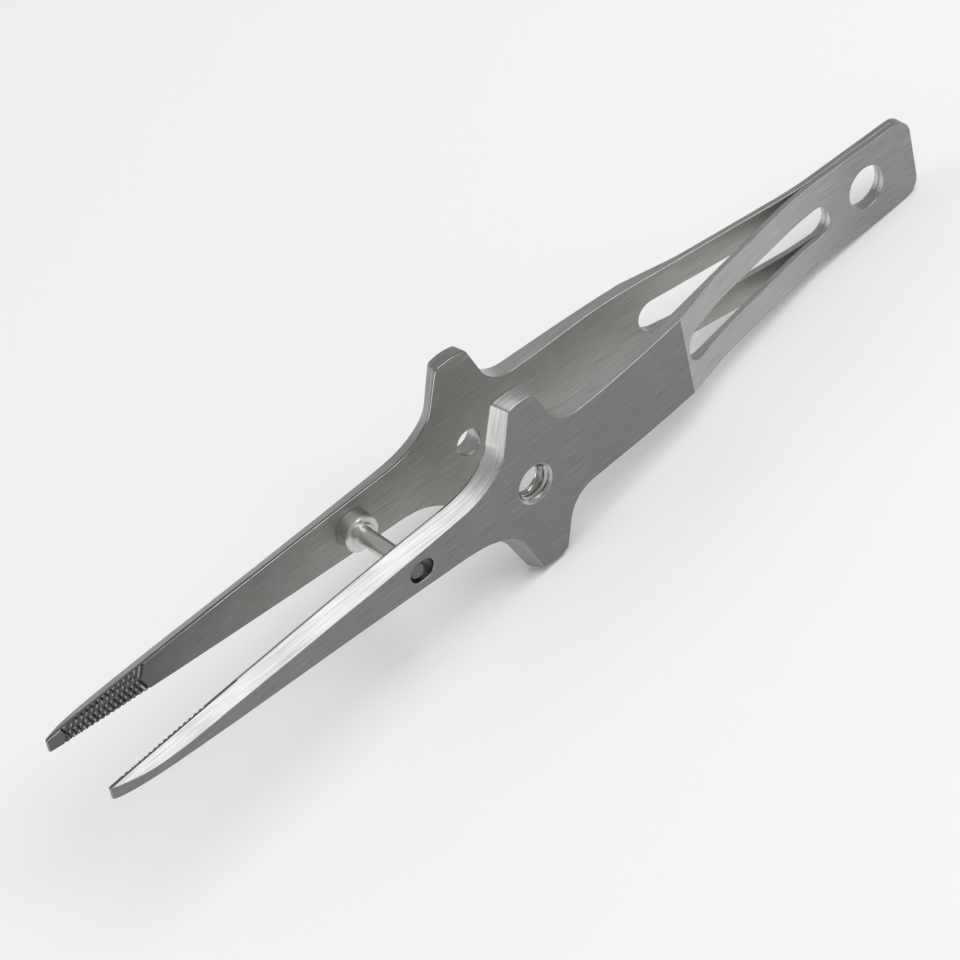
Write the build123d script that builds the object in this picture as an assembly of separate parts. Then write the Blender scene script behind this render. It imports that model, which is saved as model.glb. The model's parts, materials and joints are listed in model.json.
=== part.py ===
from build123d import *
import os
from math import asin, atan2, degrees, hypot

# Precision tweezers: two mirror-image stainless arms, spot-welded tail to tail, and a
# turned guide pin riveted into one of them. Millimetres.
#
# The arms are drawn in the tweezers' own axes: X runs from the tips (0) to the tail,
# Y across the opening, with the arms mirrored in Y = 0, and Z along the blades' width.
# The far arm lies at +Y and carries the guide pin. The near arm lies at -Y and has the
# tapped hole and the slot that the pin slides in. At the end everything is tilted so
# that the tweezers stand as they do on a bench, on the lower wings and the tail, with
# the floor at Z = 0.

# ---- driving dimensions -------------------------------------------------------------
LENGTH = 165.0            # tips to tail
LEAF_THICKNESS = 1.0      # spring and tail leaf of each arm
PLATE_THICKNESS = 3.0     # thickest place of the grip
TIP_OPENING = 7.0         # tweezers' centre line to the inner face at the tip

# inner face, seen from above: grip, then the sprung leaf, then the flat tail
GRIP_BEND = (106.7, 5.42)      # where the grip's and the leaf's inner faces would meet
TAIL_BEND = (141.6, 0.0)       # where the leaf's and the tail's inner faces would meet
GRIP_BEND_RADIUS = 70.0
TAIL_BEND_RADIUS = 55.0

# outer face, seen from above
TIP_THICKNESS = 0.45
NOSE = [(1.0, 7.85), (2.5, 8.33), (4.5, 8.77), (8.0, 9.18), (13.0, 9.37)]
NOSE_END = (20.0, 9.40)
GRIP_STRAIGHT_END = (84.0, 8.72)
GRIP_BOW = (99.0, 7.98)
CREASE = (111.6, 6.72)         # ground edge where the grip ends and the leaf begins
LEAF_GRIND_END = (121.0, 4.20)
LEAF_GRIND_RADIUS = 40.0

# outline of the inner face, seen from the side (half of it, the other half mirrored)
TIP_HALF_WIDTH = 1.06
BLADE_INNER = [(3.0, 1.37), (10.0, 1.88), (20.0, 2.58), (35.0, 3.50), (50.0, 4.30)]
BLADE_INNER_END = (63.0, 4.82)
WING_FRONT_INNER = [(69.5, 5.95), (72.4, 7.85), (74.1, 10.4)]
WING_FRONT_TOP_INNER = (76.4, 16.0)
WING_CROWN_INNER = (79.3, 16.25)
WING_REAR_TOP_INNER = (82.1, 15.8)

# the flanks of the blade and of the wings' front are ground at a slant, down to a square
# land along the inner face
LAND_AT_TIP = 0.60
LAND_AT_SPLIT = 0.25

# outline of the outer face, which the slant makes narrower
OUTER_TIP_HALF_WIDTH = 0.10
BLADE_OUTER = [(3.0, 0.20), (10.0, 0.52), (20.0, 1.10), (35.0, 1.85), (50.0, 2.70)]
BLADE_OUTER_END = (63.0, 3.55)
WING_FRONT_OUTER = [(70.2, 4.85), (73.3, 6.65), (75.0, 9.1)]
WING_FRONT_TOP_OUTER = (77.2, 15.3)
WING_CROWN_OUTER = (79.8, 15.6)
WING_REAR_TOP_OUTER = (82.2, 15.1)

# behind the wings the edges are square to the faces
WING_REAR_FOOT = (83.9, 10.6)
NOTCH = (85.8, 8.0)
NOTCH_END = (89.6, 6.82)       # from here to the split the width is constant
WING_CORNER_RADIUS = 0.8
BLANK_SPLIT = (94.0, 6.82)     # front and rear halves of the outline meet here
BLANK_OVERLAP = 0.1            # length that both halves share, so that no gap is left
REAR_OUTLINE = [(111.6, 7.20), (138.0, 7.50)]
TAIL_HALF_WIDTH = 7.15
TAIL_CORNER_RADIUS = 3.0

# nodes of each arm: jaw from the tips to the crease, spring, tail
SPRING_START = CREASE[0]
SPRING_END = 148.0

# openings
LEAF_SLOT_START = 112.3
LEAF_SLOT_END = 147.05
LEAF_SLOT_WIDTH = 5.6
HANG_HOLE_X = 154.9
HANG_HOLE_RADIUS = 3.6
TAPPED_HOLE_X = 79.0
TAPPED_HOLE_RADIUS = 2.6       # core of a fine thread, about M6
TAPPED_HOLE_MOUTH_RADIUS = 3.25
TAPPED_HOLE_SINK = 0.65        # depth of the mouth's countersink
PLAIN_HOLE_RADIUS = 2.2
GUIDE_SLOT_X = 56.67
GUIDE_SLOT_LENGTH = 4.45
GUIDE_SLOT_WIDTH = 3.4

# guide pin, turned in one piece: tenon, collar, neck ring and shaft
PIN_X = 56.4
PIN_TENON_RADIUS = 1.2
PIN_COLLAR_RADIUS = 3.0
PIN_COLLAR_HEIGHT = 2.5
PIN_NECK_RADIUS = 1.9
PIN_NECK_HEIGHT = 0.4
PIN_SHAFT_RADIUS = 1.4
PIN_END = 14.7                 # from the far arm's inner face to the pin's free end
PIN_EDGE = 0.25

# closing: the spring's bending acts like a hinge at the middle of the sprung leaf
PIVOT_X = 127.0
TIP_CLEARANCE = 0.02           # left between each tip and the centre line when closed

OPENING_MARGIN = 4.0           # how far the cutters run past the faces they cut


# ---- outlines -----------------------------------------------------------------------
def inner_slope():
    """Slope of the grip's flat inner face, towards the tail."""
    return (GRIP_BEND[1] - TIP_OPENING) / GRIP_BEND[0]


def leaf_slope():
    """Slope of the sprung leaf's inner face, towards the tail."""
    return (TAIL_BEND[1] - GRIP_BEND[1]) / (TAIL_BEND[0] - GRIP_BEND[0])


def arm_profile():
    """The far arm seen from above, between its inner and outer faces."""
    tip_inner = (0.0, TIP_OPENING)
    tip_outer = (0.0, TIP_OPENING + TIP_THICKNESS)
    tail_outer = (LENGTH, LEAF_THICKNESS)
    leaf_outer = (TAIL_BEND[0], LEAF_THICKNESS)
    inner = FilletPolyline(
        tip_inner, GRIP_BEND, TAIL_BEND, (LENGTH, 0.0),
        radius=[GRIP_BEND_RADIUS, TAIL_BEND_RADIUS],
    )
    tail_end = Line((LENGTH, 0.0), tail_outer)
    leaf = FilletPolyline(
        tail_outer, leaf_outer, LEAF_GRIND_END, CREASE,
        radius=[TAIL_BEND_RADIUS + LEAF_THICKNESS, LEAF_GRIND_RADIUS],
    )
    bow = ThreePointArc(CREASE, GRIP_BOW, GRIP_STRAIGHT_END)
    back = Line(GRIP_STRAIGHT_END, NOSE_END)
    nose = Spline([NOSE_END] + NOSE[::-1] + [tip_outer])
    tip = Line(tip_outer, tip_inner)
    return make_face(Curve() + [inner, tail_end, leaf, bow, back, nose, tip])


def front_half(tip_half_width, blade, blade_end, wing_front, front_top, crown, rear_top):
    """Upper edges of a face's outline, from the tip to the blank's split."""
    direction = (Vector(*blade_end) - Vector(*blade[-1])).normalized()
    steep = (Vector(*front_top) - Vector(*wing_front[-1])).normalized()
    rear = (Vector(*WING_REAR_FOOT) - Vector(*rear_top)).normalized()
    along = (Vector(*BLANK_SPLIT) - Vector(*NOTCH_END)).normalized()
    return [
        Spline([(0.0, tip_half_width)] + blade + [blade_end]),
        Spline([blade_end] + wing_front, tangents=[direction, steep]),
        Line(wing_front[-1], front_top),
        ThreePointArc(front_top, crown, rear_top),
        Line(rear_top, WING_REAR_FOOT),
        Spline([WING_REAR_FOOT, NOTCH, NOTCH_END], tangents=[rear, along]),
        Line(NOTCH_END, BLANK_SPLIT),
    ]


def front_face(half, tip_half_width, wing_corners):
    """Whole outline of the front of a face, from its upper edges, with rounded wings."""
    lower = [edge.mirror(Plane.XZ) for edge in half]
    tip = Line((0.0, -tip_half_width), (0.0, tip_half_width))
    end = Line((BLANK_SPLIT[0], BLANK_SPLIT[1]), (BLANK_SPLIT[0], -BLANK_SPLIT[1]))
    face = make_face(Curve() + half + lower + [tip, end])
    places = [Vector(x, side * z) for x, z in wing_corners for side in (1, -1)]
    corners = [face.vertices().sort_by_distance(place)[0] for place in places]
    return fillet(corners, WING_CORNER_RADIUS)


def grip_plane(height, rise=0.0):
    """Plane of the grip's inner face, moved outwards by height and then by rise per mm."""
    slope = inner_slope()
    along = Vector(1.0, slope, 0.0).normalized()
    outwards = Vector(-slope, 1.0, 0.0).normalized()
    origin = Vector(0.0, TIP_OPENING, 0.0) + outwards * height
    return Plane(origin=origin, x_dir=along + outwards * rise, z_dir=along * rise - outwards)


def front_blank():
    """Blade, wings and the front of the grip at full thickness: a land, then the slant."""
    inner = front_half(
        TIP_HALF_WIDTH, BLADE_INNER, BLADE_INNER_END, WING_FRONT_INNER,
        WING_FRONT_TOP_INNER, WING_CROWN_INNER, WING_REAR_TOP_INNER,
    )
    outer = front_half(
        OUTER_TIP_HALF_WIDTH, BLADE_OUTER, BLADE_OUTER_END, WING_FRONT_OUTER,
        WING_FRONT_TOP_OUTER, WING_CROWN_OUTER, WING_REAR_TOP_OUTER,
    )
    inner_corners = [WING_FRONT_TOP_INNER, WING_REAR_TOP_INNER]
    outer_corners = [WING_FRONT_TOP_OUTER, WING_REAR_TOP_OUTER]
    inner_outline = front_face(inner, TIP_HALF_WIDTH, inner_corners)
    outer_outline = front_face(outer, OUTER_TIP_HALF_WIDTH, outer_corners)
    rise = (LAND_AT_SPLIT - LAND_AT_TIP) / BLANK_SPLIT[0]
    sections = [
        grip_plane(0.0) * inner_outline,
        grip_plane(LAND_AT_TIP, rise) * inner_outline,
        grip_plane(PLATE_THICKNESS) * outer_outline,
    ]
    return loft(sections, ruled=True)


def rear_blank():
    """Rear of the grip, spring and tail, with square edges."""
    split_x, split_z = BLANK_SPLIT
    start = (split_x - BLANK_OVERLAP, split_z)
    points = [start, BLANK_SPLIT] + REAR_OUTLINE + [(LENGTH, TAIL_HALF_WIDTH)]
    mirrored = [(x, -z) for x, z in points[::-1]]
    outline = make_face(Polyline(points + mirrored, close=True))
    corners = outline.vertices().sort_by(Axis.X)[-2:]
    outline = fillet(corners, TAIL_CORNER_RADIUS)
    face = Plane.XZ * outline
    return extrude(face, amount=-2 * TIP_OPENING)


# ---- openings -----------------------------------------------------------------------
def face_plane(x, side):
    """Plane on the far arm's inner face at x, square to the grip, facing outwards."""
    plane = grip_plane(0.0)
    origin = plane.origin + plane.x_dir * (x / plane.x_dir.X)
    return Plane(origin=origin, x_dir=plane.x_dir, z_dir=-plane.z_dir * side)


def round_cutter(x, radius):
    """Cylinder through the grip at x."""
    length = PLATE_THICKNESS + 2 * OPENING_MARGIN
    shaft = Cylinder(radius, length, align=(Align.CENTER, Align.CENTER, Align.MIN))
    return face_plane(x, 1) * Pos(0, 0, -OPENING_MARGIN) * shaft


def tapped_hole_cutter():
    """Core of the tapped hole and the countersink of its mouth on the outer face."""
    depth = outer_height(TAPPED_HOLE_X)
    widening = TAPPED_HOLE_MOUTH_RADIUS - TAPPED_HOLE_RADIUS
    cone = Cone(
        TAPPED_HOLE_RADIUS, TAPPED_HOLE_MOUTH_RADIUS + widening,
        2 * TAPPED_HOLE_SINK, align=(Align.CENTER, Align.CENTER, Align.MIN),
    )
    mouth = face_plane(TAPPED_HOLE_X, 1) * Pos(0, 0, depth - TAPPED_HOLE_SINK) * cone
    return round_cutter(TAPPED_HOLE_X, TAPPED_HOLE_RADIUS) + mouth


def guide_slot_cutter():
    """Obround slot that the guide pin slides in, along the arm."""
    slot = SlotOverall(GUIDE_SLOT_LENGTH, GUIDE_SLOT_WIDTH)
    depth = PLATE_THICKNESS + 2 * OPENING_MARGIN
    return face_plane(GUIDE_SLOT_X, 1) * Pos(0, 0, -OPENING_MARGIN) * extrude(slot, depth)


def leaf_slot_cutter():
    """Long slot that splits the sprung leaf into two strips."""
    length = LEAF_SLOT_END - LEAF_SLOT_START
    middle = (LEAF_SLOT_END + LEAF_SLOT_START) / 2
    slot = Pos(middle, 0) * SlotOverall(length, LEAF_SLOT_WIDTH)
    return Pos(0, -OPENING_MARGIN, 0) * extrude(Plane.XZ * slot, -4 * OPENING_MARGIN)


def hang_hole_cutter():
    """Round hole through the tail."""
    circle = Pos(HANG_HOLE_X, 0) * Circle(HANG_HOLE_RADIUS)
    return Pos(0, -OPENING_MARGIN, 0) * extrude(Plane.XZ * circle, -3 * OPENING_MARGIN)


def outer_height(x):
    """Thickness of the grip at x, on the straight stretch of its outer face."""
    (x0, y0), (x1, y1) = NOSE_END, GRIP_STRAIGHT_END
    outer = y0 + (y1 - y0) * (x - x0) / (x1 - x0)
    inner = TIP_OPENING + inner_slope() * x
    return (outer - inner) / hypot(1.0, inner_slope())


# ---- pieces -------------------------------------------------------------------------
def arm_blank():
    """The far arm without its grip holes."""
    prism = extrude(arm_profile(), 3 * TIP_OPENING, both=True)
    front = prism & front_blank()
    rear = prism & rear_blank()
    return front + rear - leaf_slot_cutter() - hang_hole_cutter()


def slab(start, end):
    """Everything between two stations along the arm."""
    size = 8 * TIP_OPENING
    return Pos((start + end) / 2, 0, 0) * Box(end - start, size, size)


def split_arm(arm, name):
    """The arm's three nodes: jaw, spring and tail."""
    return {
        name + "_jaw": arm & slab(-1.0, SPRING_START),
        name + "_spring": arm & slab(SPRING_START, SPRING_END),
        name + "_tail": arm & slab(SPRING_END, LENGTH + 1.0),
    }


def far_arm():
    """The arm that carries the guide pin, with its tenon hole and the plain hole."""
    arm = arm_blank()
    arm -= round_cutter(PIN_X, PIN_TENON_RADIUS)
    arm -= round_cutter(TAPPED_HOLE_X, PLAIN_HOLE_RADIUS)
    return split_arm(arm, "far_arm")


def near_arm():
    """The arm with the tapped hole and the guide slot."""
    arm = arm_blank() - tapped_hole_cutter() - guide_slot_cutter()
    return split_arm(arm.mirror(Plane.XZ), "near_arm")


def guide_pin():
    """Turned pin: its tenon fills the far arm's hole, the rest points at the near arm."""
    neck_top = PIN_COLLAR_HEIGHT + PIN_NECK_HEIGHT
    points = [
        (0.0, -outer_height(PIN_X)),
        (PIN_TENON_RADIUS, -outer_height(PIN_X)),
        (PIN_TENON_RADIUS, 0.0),
        (PIN_COLLAR_RADIUS, 0.0),
        (PIN_COLLAR_RADIUS, PIN_COLLAR_HEIGHT - PIN_EDGE),
        (PIN_COLLAR_RADIUS - PIN_EDGE, PIN_COLLAR_HEIGHT),
        (PIN_NECK_RADIUS, PIN_COLLAR_HEIGHT),
        (PIN_NECK_RADIUS, neck_top - PIN_EDGE / 2),
        (PIN_NECK_RADIUS - PIN_EDGE / 2, neck_top),
        (PIN_SHAFT_RADIUS, neck_top),
        (PIN_SHAFT_RADIUS, PIN_END - PIN_EDGE),
        (PIN_SHAFT_RADIUS - PIN_EDGE, PIN_END),
        (0.0, PIN_END),
    ]
    turned = revolve(Plane.XZ * make_face(Polyline(points, close=True)), Axis.Z)
    return face_plane(PIN_X, -1) * turned


# ---- stance and motion --------------------------------------------------------------
def pivot_point():
    """Point on the far leaf's middle surface that the jaw turns about."""
    inner = TAIL_BEND[1] + leaf_slope() * (PIVOT_X - TAIL_BEND[0])
    return PIVOT_X, inner + LEAF_THICKNESS / 2


def closing_angle():
    """Degrees that each jaw turns before the tips meet."""
    x, y = pivot_point()
    reach = hypot(x, TIP_OPENING - y)
    rest = atan2(TIP_OPENING - y, x)
    return degrees(asin((y - TIP_CLEARANCE) / reach) + rest)


def stance_angle():
    """Degrees that the tail drops by, when the tweezers stand on their wings and tail.

    The floor touches two arcs of the outline: the wings' crown and the tail's corner.
    """
    crown = ThreePointArc(WING_FRONT_TOP_INNER, WING_CROWN_INNER, WING_REAR_TOP_INNER)
    corner_x = LENGTH - TAIL_CORNER_RADIUS
    corner_z = TAIL_HALF_WIDTH - TAIL_CORNER_RADIUS
    along = corner_x - crown.arc_center.X
    drop = crown.arc_center.Y - corner_z
    radius_step = crown.radius - TAIL_CORNER_RADIUS
    return degrees(atan2(drop, along) + asin(radius_step / hypot(along, drop)))


def stand(shapes):
    """Tilts the tweezers onto the floor and centres their box over the origin."""
    tilted = {name: Rot(0, stance_angle(), 0) * s for name, s in shapes.items()}
    box = Compound(children=[s.solids()[0] for s in tilted.values()]).bounding_box()
    shift = Pos(-box.center().X, -box.center().Y, -box.min.Z)
    print("stance angle", stance_angle(), "shift", shift.position)
    return {name: shift * s for name, s in tilted.items()}


def main():
    os.makedirs("parts", exist_ok=True)
    shapes = {**near_arm(), **far_arm(), "guide_pin": guide_pin()}
    print("closing angle", closing_angle(), "pivot", pivot_point())
    for name, shape in stand(shapes).items():
        export_step(shape, "parts/" + name + ".step")


main()
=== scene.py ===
"""Looks of the precision tweezers: two brushed steel arms and a turned guide pin.

The tool is described lying down, in millimetres: x runs from the tips to the tail, y across
the opening with the far arm at +y, and z across the arms' width. STAND puts it in the row
frame, in metres, standing on its wings and tail.
"""
import json
from math import cos, pi, radians, sin

import bmesh
import bpy
from mathutils import Matrix, Quaternion, Vector


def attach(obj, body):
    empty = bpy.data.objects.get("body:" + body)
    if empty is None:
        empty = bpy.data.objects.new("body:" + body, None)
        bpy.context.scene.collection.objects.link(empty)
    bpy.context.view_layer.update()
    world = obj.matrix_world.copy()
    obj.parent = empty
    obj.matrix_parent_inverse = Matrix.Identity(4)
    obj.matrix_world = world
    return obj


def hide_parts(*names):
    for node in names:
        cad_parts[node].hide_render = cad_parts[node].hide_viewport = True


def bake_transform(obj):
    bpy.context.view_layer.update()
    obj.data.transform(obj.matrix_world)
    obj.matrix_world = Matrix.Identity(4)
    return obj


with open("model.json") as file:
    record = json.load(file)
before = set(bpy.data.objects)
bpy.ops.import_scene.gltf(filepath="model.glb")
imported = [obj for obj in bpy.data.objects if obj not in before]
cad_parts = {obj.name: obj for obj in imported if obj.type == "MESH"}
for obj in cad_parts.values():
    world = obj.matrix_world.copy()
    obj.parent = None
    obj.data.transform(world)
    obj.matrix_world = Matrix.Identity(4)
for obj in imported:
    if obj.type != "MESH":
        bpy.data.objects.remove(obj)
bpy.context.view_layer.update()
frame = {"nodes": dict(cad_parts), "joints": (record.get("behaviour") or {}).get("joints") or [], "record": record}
MM = 0.001

# camera, floor and surroundings: degrees and metres, and the lens in mm
CAMERA_AZIMUTH = -27.8
CAMERA_ELEVATION = 44.8
CAMERA_ROLL = -21.0
CAMERA_DISTANCE = 0.7384
CAMERA_LENS = 191.0
CAMERA_AIM = Vector((-0.0072, 0.0, 0.0150))
FLOOR_SIZE = 6.0
FLOOR_COLOUR = (0.86, 0.86, 0.86, 1.0)
FLOOR_ROUGHNESS = (0.75, 0.9)
FLOOR_PATCHES = 3.0            # in a metre
WORLD_COLOUR = (0.93, 0.935, 0.94, 1.0)
WORLD_STRENGTH = 0.45

# arms, and their materials' slots
FACES, EDGES, LEAF, GROOVE_SHADE, BORE_HIGHLIGHT, INNER, FLANKS, SIDES = range(8)
EDGE = 0.08                    # width of the rounded edges
EDGE_ANGLE = 40.0              # sharper corners than this, in degrees, are edges
FLAT_ANGLE = 0.1               # faces within this angle are one flat face
SAME = 0.01                    # places nearer than this are one place
WELD = 0.002                   # vertices nearer than this are joined
SHARP_ANGLE = 18.0             # corners above this stay crisp
GROUND_END_X = 84.5            # the slanted flanks end behind the wings

# how far a face's normal points along y, from 0 to 1, and along x for a node's cut end
BROAD = 0.9                    # the inner and outer faces' at least this
SLANTED = 0.05                 # the ground flanks' at least this
SQUARE = 0.3                   # the square sides' at most this
CUT_END = 0.99                 # a cut end's at least this

# the sprung leaf
LEAF_STEP = 1.5                # the leaf is divided this finely, so that it can bend
TAIL_BEND_X = 141.6            # behind this the two leaves lie against each other

# cross-cut serrations of the tips
SERRATION_PITCH = 0.94         # along the arm
SERRATION_ANGLE = 65.0         # from the arm's length, to either side
SERRATION_START = 3.4
SERRATION_END = 16.6
SERRATION_DEPTH = 0.27
SERRATION_WIDTH = 0.54
SERRATION_REACH = 4.0          # half the length of a groove's cutter
SERRATION_RISE = 0.15          # how far the cutter stands out of the inner face
CREST_AREA = 0.6               # the flats left between grooves are smaller than this, in mm2

# thread of the tapped hole
THREAD_PITCH = 0.83
THREAD_ROOT = 3.12
THREAD_CORE = 2.5
THREAD_WIDTH = 0.78
THREAD_ROOT_WIDTH = 0.12
THREAD_START = 0.05            # depths below the outer face
THREAD_END = 2.45
THREAD_FADE = 1 / 3            # turns in which the groove grows to its full depth
THREAD_LEAST = 0.05            # share of its depth that it starts and ends with
THREAD_STEPS = 60              # in one turn
HOLE_MARGIN = 0.8              # a countersunk mouth's radius is larger by less than this
HOLE_WALL = 0.95               # how far along the axis a hole's wall or mouth faces, at most

# guide pin: radii, and distances from the far arm's inner face
PIN_END = 14.7
PIN_STEPS = 128
PIN_TENON = (1.2, -3.0)        # its end stands a little proud of the arm's back
PIN_COLLAR = (3.0, 2.5)
PIN_NECK = (1.9, 2.9)
PIN_SHAFT = 1.4
PIN_EDGE = 0.25                # chamfers of the collar and of the free end
PIN_CHAMFER = PIN_EDGE / 3     # all the others

# steels: how the streaks and the patches vary colour and gloss
STREAK_DETAIL = 4.0
STREAK_RANGE = (0.32, 0.68)    # noise values of the darkest and the brightest streaks
STREAK_TINT = (0.78, 1.2)      # their shares of the steel's colour
PATCH_SCALE = 0.09             # patches in a mm
GLOSS_RANGE = (0.8, 1.25)      # shares of the steel's roughness
RELIEF = 0.00002               # height of the streaks, in metres


# ---- where the tool lies in the row frame --------------------------------------------
def named(items, name):
    """The entry of that name in a list of the record's."""
    return next(item for item in items if item["name"] == name)


def standing_frame():
    """Matrix from the lying tool, in mm, to the row frame, in metres."""
    width = Vector(named(frame["joints"], "far_arm_flex")["axis"]).normalized()
    opening = Vector((0.0, 1.0, 0.0))
    along = opening.cross(width)
    hole = Vector(named(frame["record"]["mounts"], "hang_hole")["pos_m"])
    tips = min(v.co.dot(along) for v in frame["nodes"]["near_arm_jaw"].data.vertices)
    origin = hole + along * (tips - hole.dot(along))
    turn = Matrix((along, opening, width)).transposed().to_4x4()
    return Matrix.Translation(origin) @ turn @ Matrix.Scale(MM, 4)


STAND = standing_frame()
LIE = STAND.inverted()


def node_points(node):
    """A CAD node's vertices, on the lying tool."""
    return [LIE @ v.co for v in frame["nodes"][node].data.vertices]


def mount_axis(name):
    """A mount's point and axis, on the lying tool."""
    mount = named(frame["record"]["mounts"], name)
    point = LIE @ Vector(mount["pos_m"])
    return point, (LIE.to_3x3() @ Vector(mount["axis"])).normalized()


def hole_reach(name):
    """Distance from a hole's axis within which its wall and its mouth lie, in mm."""
    return named(frame["record"]["mounts"], name)["dims"]["r_mm"] + HOLE_MARGIN


SPRING_START = max(p.x for p in node_points("near_arm_jaw"))
SPRING_END = min(p.x for p in node_points("near_arm_tail"))
OUTWARDS = mount_axis("plain_hole")[1]  # square to the far arm's inner face
TIP_OPENING = min(p.y for p in node_points("far_arm_jaw") if p.x < SAME)


def inner_face(x):
    """Point of the far arm's inner face at x."""
    slope = -OUTWARDS.x / OUTWARDS.y
    return Vector((x, TIP_OPENING + slope * x, 0.0))


# ---- mesh tools ----------------------------------------------------------------------
def new_object(name, mesh):
    """An object in the scene that shows the mesh."""
    obj = bpy.data.objects.new(name, mesh)
    bpy.context.scene.collection.objects.link(obj)
    return obj


def to_mesh(shape, name):
    """The bmesh as a mesh, with its normals pointing out."""
    bmesh.ops.recalc_face_normals(shape, faces=shape.faces)
    mesh = bpy.data.meshes.new(name)
    shape.to_mesh(mesh)
    shape.free()
    return mesh


def cutter(name, shape):
    """The bmesh as a solid to cut with; the faces that it leaves get the dark groove steel, which paints shade in
    the grooves.
    """
    for face in shape.faces:
        face.material_index = GROOVE_SHADE
    return new_object(name, to_mesh(shape, name))


def sweep(shape, sections):
    """Closed tube through sections of the same number of points, with both ends capped."""
    rings = [[shape.verts.new(p) for p in section] for section in sections]
    count = len(rings[0])
    for a, b in zip(rings, rings[1:]):
        for i in range(count):
            j = (i + 1) % count
            shape.faces.new((a[i], a[j], b[j], b[i]))
    shape.faces.new(rings[0][::-1])
    shape.faces.new(rings[-1])


def volume(mesh):
    """Volume that a closed mesh holds."""
    shape = bmesh.new()
    shape.from_mesh(mesh)
    held = shape.calc_volume()
    shape.free()
    return held


def cut(obj, tool):
    """Takes the tool's solid out of obj's mesh."""
    least = volume(obj.data) - volume(tool.data)
    change = obj.modifiers.new("cut", "BOOLEAN")
    change.operation = "DIFFERENCE"
    change.solver = "MANIFOLD"
    change.object = tool
    change.material_mode = "INDEX"
    depsgraph = bpy.context.evaluated_depsgraph_get()
    result = bpy.data.meshes.new_from_object(obj.evaluated_get(depsgraph))
    obj.modifiers.clear()
    obj.data = result
    if volume(result) < least:
        raise ValueError(f"cutting {tool.name} took away too much of {obj.name}")
    bpy.data.objects.remove(tool)


def unwrap(mesh):
    """UV map in mm: u runs along the arm or its outline, so that the brushing follows it."""
    layer = mesh.uv_layers.new(name="brushing").data
    for face in mesh.polygons:
        x, y, z = [abs(part) for part in face.normal]
        u = 2 if y < max(x, z) and x > z else 0
        v = 2 if y > max(x, z) else 1
        for loop in face.loop_indices:
            point = mesh.vertices[mesh.loops[loop].vertex_index].co
            layer[loop].uv = (point[u], point[v])


def finish_surface(obj):
    """Smooth shading that keeps flat faces flat."""
    obj.data.shade_smooth()
    obj.data.set_sharp_from_angle(angle=radians(SHARP_ANGLE))
    weights = obj.modifiers.new("weighted normals", "WEIGHTED_NORMAL")
    weights.keep_sharp = True


# ---- arms ----------------------------------------------------------------------------
def is_cap(face):
    """True for a face where a CAD node of the arm was cut from the next one."""
    middle = face.calc_center_median().x
    at_cut = min(abs(middle - SPRING_START), abs(middle - SPRING_END)) < SAME
    return at_cut and abs(face.normal.x) > CUT_END


def finish_and_painted_light_of(face, inwards):
    """The steel for a face by the way it faces, partly its finish and partly painted light: the inner faces, the
    leaf's outer faces and the square sides get lighter steels of painted light; inwards is the way along y that
    the opening lies.
    """
    x = face.calc_center_median().x
    facing = face.normal.y * inwards
    if facing > BROAD:
        return INNER
    if facing < -BROAD and x > SPRING_START:
        return LEAF
    if -BROAD < facing < -SLANTED and x < GROUND_END_X:
        return FLANKS
    if abs(facing) < SQUARE and x > GROUND_END_X:
        return SIDES
    return FACES


def arm_blank(side):
    """The arm's three CAD nodes as one blank with rounded edges, on the lying tool."""
    shape = bmesh.new()
    for part in ("jaw", "spring", "tail"):
        shape.from_mesh(frame["nodes"][f"{side}_arm_{part}"].data)
    bmesh.ops.transform(shape, matrix=LIE, verts=shape.verts)
    shape.normal_update()
    caps = [face for face in shape.faces if is_cap(face)]
    bmesh.ops.delete(shape, geom=caps, context="FACES")
    bmesh.ops.remove_doubles(shape, verts=shape.verts, dist=WELD)
    bmesh.ops.dissolve_limit(
        shape, angle_limit=radians(FLAT_ANGLE), verts=shape.verts, edges=shape.edges
    )
    limit = radians(EDGE_ANGLE)
    edges = [e for e in shape.edges if e.is_manifold and e.calc_face_angle() > limit]
    # the rounded edges get the brighter edge steel: partly rubbed wear, partly painted highlight
    bmesh.ops.bevel(
        shape, geom=edges, offset=EDGE, offset_type="OFFSET", segments=2, profile=0.5,
        affect="EDGES", clamp_overlap=False, material=EDGES,
    )
    shape.normal_update()
    # faces that point different ways get steels of different brightness: partly their finish, partly painted light
    for face in shape.faces:
        if face.material_index == FACES:
            face.material_index = finish_and_painted_light_of(face, 1 if side == "near" else -1)
    return to_mesh(shape, f"{side}_arm")


def groove(shape, x, angle):
    """One V groove's cutter across the far arm's inner face, at x."""
    along = Vector((cos(angle), 0.0, sin(angle)))
    across = Vector((-sin(angle), 0.0, cos(angle)))
    middle = inner_face(x)
    spread = SERRATION_WIDTH / 2 * (1 + SERRATION_RISE / SERRATION_DEPTH)
    section = [
        across * spread - OUTWARDS * SERRATION_RISE,
        across * -spread - OUTWARDS * SERRATION_RISE,
        OUTWARDS * SERRATION_DEPTH,
    ]
    ends = [middle + along * reach for reach in (-SERRATION_REACH, SERRATION_REACH)]
    sweep(shape, [[end + p for p in section] for end in ends])


def serrate(arm, side, angle):
    """Cuts one set of parallel grooves in the tip's inner face."""
    shape = bmesh.new()
    count = round((SERRATION_END - SERRATION_START) / SERRATION_PITCH)
    for i in range(count + 1):
        groove(shape, SERRATION_START + i * SERRATION_PITCH, angle)
    if side == "near":
        bmesh.ops.transform(shape, matrix=Matrix.Diagonal((1, -1, 1, 1)), verts=shape.verts)
    cut(arm, cutter("grooves", shape))


def paint_crest_highlights(mesh):
    """Paints highlights on the flats between the serrations' grooves, with the brighter steel of the edges."""
    end = SERRATION_END + SERRATION_PITCH
    for face in mesh.polygons:
        small = face.area < CREST_AREA and SERRATION_START < face.center.x < end
        if small and face.material_index == INNER:
            face.material_index = EDGES


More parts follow.
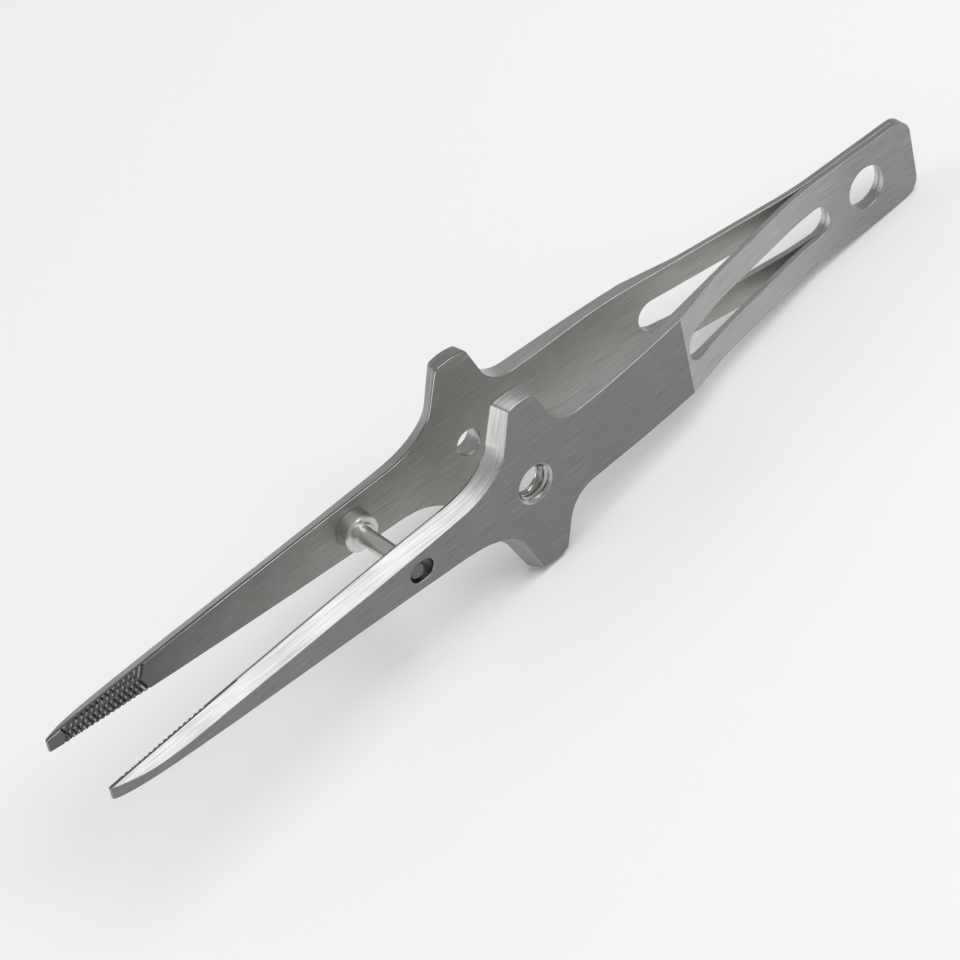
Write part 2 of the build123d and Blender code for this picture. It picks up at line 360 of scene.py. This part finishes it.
def thread_section(turn, point, outwards):
    """Section of the thread's groove after that many turns."""
    depth = THREAD_START + turn * THREAD_PITCH
    to_end = min(depth - THREAD_START, THREAD_END - depth) / THREAD_PITCH
    share = min(1.0, max(THREAD_LEAST, to_end / THREAD_FADE))
    root = THREAD_CORE + (THREAD_ROOT - THREAD_CORE) * share
    side = outwards.cross(Vector((0, 0, 1))).normalized()
    up = side.cross(outwards)
    ray = side * cos(2 * pi * turn) + up * sin(2 * pi * turn)
    profile = [
        (THREAD_CORE, -THREAD_WIDTH / 2), (root, -THREAD_ROOT_WIDTH / 2),
        (root, THREAD_ROOT_WIDTH / 2), (THREAD_CORE, THREAD_WIDTH / 2),
    ]
    return [point + ray * r - outwards * (depth + offset) for r, offset in profile]


def cut_thread(arm):
    """Cuts the helical thread in the near arm's hole."""
    point, outwards = mount_axis("tapped_hole")
    around = [p - point for p in node_points("near_arm_jaw")]
    rim = [p for p in around if p.cross(outwards).length < hole_reach("tapped_hole")]
    mouth = point + outwards * max(p.dot(outwards) for p in rim)
    turns = (THREAD_END - THREAD_START) / THREAD_PITCH
    count = round(turns * THREAD_STEPS)
    shape = bmesh.new()
    sweep(shape, [thread_section(turns * i / count, mouth, outwards) for i in range(count + 1)])
    cut(arm, cutter("thread", shape))


def paint_bore_highlight(mesh, name):
    """Gives a hole's wall and countersink a brighter steel, a painted highlight."""
    point, outwards = mount_axis(name)
    for face in mesh.polygons:
        away = (face.center - point).cross(outwards).length
        if away < hole_reach(name) and abs(face.normal.dot(outwards)) < HOLE_WALL:
            face.material_index = BORE_HIGHLIGHT


def divide_leaf(mesh):
    """Adds cross lines to the sprung leaf."""
    shape = bmesh.new()
    shape.from_mesh(mesh)
    x = SPRING_START - LEAF_STEP
    while x < TAIL_BEND_X + LEAF_STEP:
        everything = shape.verts[:] + shape.edges[:] + shape.faces[:]
        bmesh.ops.bisect_plane(shape, geom=everything, plane_co=(x, 0, 0), plane_no=(1, 0, 0))
        x += LEAF_STEP
    shape.to_mesh(mesh)
    shape.free()


def make_arm(side, materials):
    """One arm, from blank to its place in the frame."""
    arm = new_object(f"{side}_arm", arm_blank(side))
    for material in materials:
        arm.data.materials.append(material)
    for angle in (SERRATION_ANGLE, -SERRATION_ANGLE):
        serrate(arm, side, radians(angle))
    paint_crest_highlights(arm.data)
    if side == "near":
        cut_thread(arm)
    paint_bore_highlight(arm.data, "tapped_hole" if side == "near" else "plain_hole")
    divide_leaf(arm.data)
    unwrap(arm.data)
    finish_surface(arm)
    arm.data.transform(STAND)
    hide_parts(*[f"{side}_arm_{part}" for part in ("jaw", "spring", "tail")])
    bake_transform(arm)


# ---- guide pin -----------------------------------------------------------------------
def pin_profile():
    """Radius and distance from the far arm's inner face, along the pin."""
    tenon, tenon_end = PIN_TENON
    collar, collar_top = PIN_COLLAR
    neck, neck_top = PIN_NECK
    small = PIN_CHAMFER
    return [
        (0.0, tenon_end + small), (tenon - small, tenon_end + small),
        (tenon, tenon_end + 2 * small), (tenon, 0.0),
        (collar - small, 0.0), (collar, small),
        (collar, collar_top - PIN_EDGE), (collar - PIN_EDGE, collar_top),
        (neck + small, collar_top), (neck, collar_top + small),
        (neck, neck_top - small), (neck - small, neck_top),
        (PIN_SHAFT + small, neck_top), (PIN_SHAFT, neck_top + small),
        (PIN_SHAFT, PIN_END - PIN_EDGE), (PIN_SHAFT - PIN_EDGE, PIN_END), (0.0, PIN_END),
    ]


def revolved(base, axis, profile):
    """Closed surface of a profile of radii and distances, turned around an axis through base."""
    shape = bmesh.new()
    side = Vector((0, 0, 1))
    up = axis.cross(side)
    rings = []
    for radius, place in profile:
        turns = [2 * pi * i / PIN_STEPS for i in range(PIN_STEPS if radius > 0 else 1)]
        rays = [side * cos(turn) + up * sin(turn) for turn in turns]
        rings.append([shape.verts.new(base + axis * place + ray * radius) for ray in rays])
    for a, b in zip(rings, rings[1:]):
        for i in range(PIN_STEPS):
            j = i + 1
            corners = [a[i % len(a)], a[j % len(a)], b[j % len(b)], b[i % len(b)]]
            shape.faces.new(list(dict.fromkeys(corners)))
    return shape


def make_pin(materials):
    """The turned pin, riveted in the far arm; its two ends have the second, darker steel, painted shade at the
    free end inside the near arm's slot.
    """
    inwards = -OUTWARDS
    points = node_points("guide_pin")
    farthest = max(p.dot(inwards) for p in points)
    # the middle of the free end's rim is on the pin's axis
    rim = [p for p in points if farthest - p.dot(inwards) < SAME]
    low = Vector([min(p[i] for p in rim) for i in range(3)])
    high = Vector([max(p[i] for p in rim) for i in range(3)])
    base = (low + high) / 2 - inwards * PIN_END
    mesh = to_mesh(revolved(base, inwards, pin_profile()), "guide_pin_turned")
    pin = new_object("guide_pin_turned", mesh)
    unwrap(pin.data)
    for material in materials:
        pin.data.materials.append(material)
    # the two ends get the darker steel: painted shade at the free end inside the near arm's slot
    for face in pin.data.polygons:
        place = (face.center - base).dot(inwards)
        if not PIN_TENON[1] + PIN_EDGE < place < PIN_END - PIN_EDGE:
            face.material_index = 1
    finish_surface(pin)
    pin.data.transform(STAND)
    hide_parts("guide_pin")
    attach(pin, "far_jaw")


# ---- materials -----------------------------------------------------------------------
def steel(name, colour, roughness, streak, bump, anisotropy):
    """Steel with brushed streaks of that size in mm, along and across the arm."""
    material = bpy.data.materials.new(name)
    material.use_nodes = True
    nodes, links = material.node_tree.nodes, material.node_tree.links
    shader = nodes["Principled BSDF"]
    shader.inputs["Metallic"].default_value = 1.0
    shader.inputs["Anisotropic"].default_value = anisotropy
    place = nodes.new("ShaderNodeTexCoord")
    stretch = nodes.new("ShaderNodeMapping")
    stretch.inputs["Scale"].default_value = (1 / streak[0], 1 / streak[1], 1.0)
    lines = nodes.new("ShaderNodeTexNoise")
    lines.inputs["Scale"].default_value = 1.0
    lines.inputs["Detail"].default_value = STREAK_DETAIL
    links.new(place.outputs["UV"], stretch.inputs["Vector"])
    links.new(stretch.outputs["Vector"], lines.inputs["Vector"])
    patches = nodes.new("ShaderNodeTexNoise")
    patches.inputs["Scale"].default_value = PATCH_SCALE
    links.new(place.outputs["UV"], patches.inputs["Vector"])
    tint = nodes.new("ShaderNodeValToRGB")
    for stop, position, share in zip(tint.color_ramp.elements, STREAK_RANGE, STREAK_TINT):
        stop.position = position
        stop.color = (*[share * c for c in colour], 1.0)
    links.new(lines.outputs["Fac"], tint.inputs["Fac"])
    links.new(tint.outputs["Color"], shader.inputs["Base Color"])
    gloss = nodes.new("ShaderNodeMapRange")
    gloss.inputs["To Min"].default_value = roughness * GLOSS_RANGE[0]
    gloss.inputs["To Max"].default_value = roughness * GLOSS_RANGE[1]
    links.new(patches.outputs["Fac"], gloss.inputs["Value"])
    links.new(gloss.outputs["Result"], shader.inputs["Roughness"])
    relief = nodes.new("ShaderNodeBump")
    relief.inputs["Strength"].default_value = bump
    relief.inputs["Distance"].default_value = RELIEF
    links.new(lines.outputs["Fac"], relief.inputs["Height"])
    links.new(relief.outputs["Normal"], shader.inputs["Normal"])
    grain = nodes.new("ShaderNodeTangent")
    grain.direction_type = "UV_MAP"
    grain.uv_map = "brushing"
    links.new(grain.outputs["Tangent"], shader.inputs["Tangent"])
    return material


def grade(material, start, end, first, last):
    """Scales the material's colour from first to last between two places along the arm."""
    nodes, links = material.node_tree.nodes, material.node_tree.links
    colour = nodes["Principled BSDF"].inputs["Base Color"]
    place = nodes.new("ShaderNodeTexCoord")
    parts = nodes.new("ShaderNodeSeparateXYZ")
    share = nodes.new("ShaderNodeMapRange")
    share.inputs["From Min"].default_value = start
    share.inputs["From Max"].default_value = end
    share.inputs["To Min"].default_value = first
    share.inputs["To Max"].default_value = last
    scaled = nodes.new("ShaderNodeVectorMath")
    scaled.operation = "SCALE"
    links.new(place.outputs["UV"], parts.inputs["Vector"])
    links.new(parts.outputs["X"], share.inputs["Value"])
    links.new(colour.links[0].from_socket, scaled.inputs["Vector"])
    links.new(share.outputs["Result"], scaled.inputs["Scale"])
    links.new(scaled.outputs["Vector"], colour)


def arm_steels():
    """The arms' steels, in the order of their slots."""
    brushed = steel(
        "arm_brushed", colour=(0.218, 0.220, 0.226), roughness=0.36, streak=(6.0, 0.12),
        bump=0.6, anisotropy=0.5,
    )
    # brighter steel on the rounded edges: partly rubbed wear, partly painted highlight
    edges = steel(
        "arm_edges", colour=(0.34, 0.34, 0.335), roughness=0.30, streak=(5.0, 0.2),
        bump=0.3, anisotropy=0.3,
    )
    # lighter steel on the leaf's outer faces: painted reflection
    leaf = steel(
        "arm_leaf_painted_light", colour=(0.38, 0.38, 0.375), roughness=0.38, streak=(6.0, 0.12),
        bump=0.5, anisotropy=0.5,
    )
    # dark steel on the faces that the cutters leave in the serrations and the thread: painted shade in the grooves
    grooves = steel(
        "arm_groove_shade", colour=(0.10, 0.10, 0.098), roughness=0.26, streak=(3.0, 0.3),
        bump=0.2, anisotropy=0.2,
    )
    # brighter steel on the holes' walls and countersinks: painted highlight
    bores = steel(
        "arm_bore_highlight", colour=(0.48, 0.475, 0.46), roughness=0.26, streak=(4.0, 0.2),
        bump=0.2, anisotropy=0.2,
    )
    # lighter, warmer steel on the inner faces: painted light in the shaded space between the arms
    inner = steel(
        "arm_inner_painted_light", colour=(0.315, 0.308, 0.296), roughness=0.58, streak=(6.0, 0.12),
        bump=0.5, anisotropy=0.3,
    )
    flanks = steel(
        "arm_flanks", colour=(0.35, 0.35, 0.345), roughness=0.42, streak=(9.0, 0.25),
        bump=0.3, anisotropy=0.4,
    )
    # bright steel on the square sides behind the wings: painted highlight
    sides = steel(
        "arm_sides_painted_highlight", colour=(0.50, 0.50, 0.495), roughness=0.40, streak=(6.0, 0.12),
        bump=0.5, anisotropy=0.4,
    )
    # the leaf's steel grows darker towards the tail: painted shade where the two leaves meet
    grade(leaf, start=135.0, end=155.0, first=1.15, last=0.8)
    # the inner faces darken towards the tips and lighten towards the wings: painted light and shade
    grade(inner, start=15.0, end=85.0, first=0.55, last=1.65)
    # the square sides grow darker towards the tail
    grade(sides, start=90.0, end=160.0, first=1.1, last=0.8)
    return [brushed, edges, leaf, grooves, bores, inner, flanks, sides]


def pin_steels():
    """The turned pin's steel, and the much darker one of its two ends, painted shade at the free end inside the
    near arm's slot.
    """
    round_steel = steel(
        "pin_turned", colour=(0.66, 0.65, 0.62), roughness=0.30, streak=(0.09, 6.0),
        bump=0.25, anisotropy=0.4,
    )
    end_steel = steel(
        "pin_end", colour=(0.17, 0.166, 0.156), roughness=0.45, streak=(0.3, 0.3),
        bump=0.4, anisotropy=0.0,
    )
    return [round_steel, end_steel]


def floor_material():
    """Plain pale matt floor with a trace of unevenness."""
    material = bpy.data.materials.new("pale_floor")
    material.use_nodes = True
    nodes, links = material.node_tree.nodes, material.node_tree.links
    shader = nodes["Principled BSDF"]
    shader.inputs["Base Color"].default_value = FLOOR_COLOUR
    cloud = nodes.new("ShaderNodeTexNoise")
    cloud.inputs["Scale"].default_value = FLOOR_PATCHES
    dull = nodes.new("ShaderNodeMapRange")
    dull.inputs["To Min"].default_value = FLOOR_ROUGHNESS[0]
    dull.inputs["To Max"].default_value = FLOOR_ROUGHNESS[1]
    links.new(cloud.outputs["Fac"], dull.inputs["Value"])
    links.new(dull.outputs["Result"], shader.inputs["Roughness"])
    return material


# ---- stage ---------------------------------------------------------------------------
def make_floor():
    """Square of floor that the tool stands on."""
    shape = bmesh.new()
    bmesh.ops.create_grid(shape, x_segments=1, y_segments=1, size=FLOOR_SIZE / 2)
    floor = new_object("floor", to_mesh(shape, "floor"))
    floor.data.materials.append(floor_material())


def aimed(obj, place, target, roll=0.0):
    """Puts a camera or a light at place, looking at target."""
    obj.location = place
    obj.rotation_mode = "QUATERNION"
    look = (target - place).to_track_quat("-Z", "Y")
    obj.rotation_quaternion = look @ Quaternion((0, 0, 1), radians(roll))


def softbox(name, direction, distance, size, power):
    """Square area light in that direction from the tool."""
    light = bpy.data.lights.new(name, "AREA")
    light.size = size
    light.energy = power
    aimed(new_object(name, light), Vector(direction).normalized() * distance, Vector())


def make_camera():
    """Camera above the tool, off its near side and in front of its tips."""
    a, e = radians(CAMERA_AZIMUTH), radians(CAMERA_ELEVATION)
    back = Vector((sin(a) * cos(e), -cos(a) * cos(e), sin(e)))
    lens = bpy.data.cameras.new("camera")
    lens.lens = CAMERA_LENS
    lens.clip_start = 0.01
    camera = new_object("camera", lens)
    aimed(camera, CAMERA_AIM + back * CAMERA_DISTANCE, CAMERA_AIM, CAMERA_ROLL)
    bpy.context.scene.camera = camera


def make_world():
    """Even pale surroundings."""
    world = bpy.data.worlds.new("studio")
    world.use_nodes = True
    shader = world.node_tree.nodes["Background"]
    shader.inputs["Color"].default_value = WORLD_COLOUR
    shader.inputs["Strength"].default_value = WORLD_STRENGTH
    bpy.context.scene.world = world


finishes_and_painted_light = arm_steels()
for arm_side in ("near", "far"):
    make_arm(arm_side, finishes_and_painted_light)
make_pin(pin_steels())
make_floor()
softbox("overhead", direction=(0.34, -0.27, 0.90), distance=1.1, size=0.9, power=8.5)
softbox("tip_side", direction=(-0.95, 0.15, 0.2), distance=1.2, size=0.8, power=8.0)
make_camera()
make_world()
bpy.context.scene.view_settings.view_transform = "Standard"
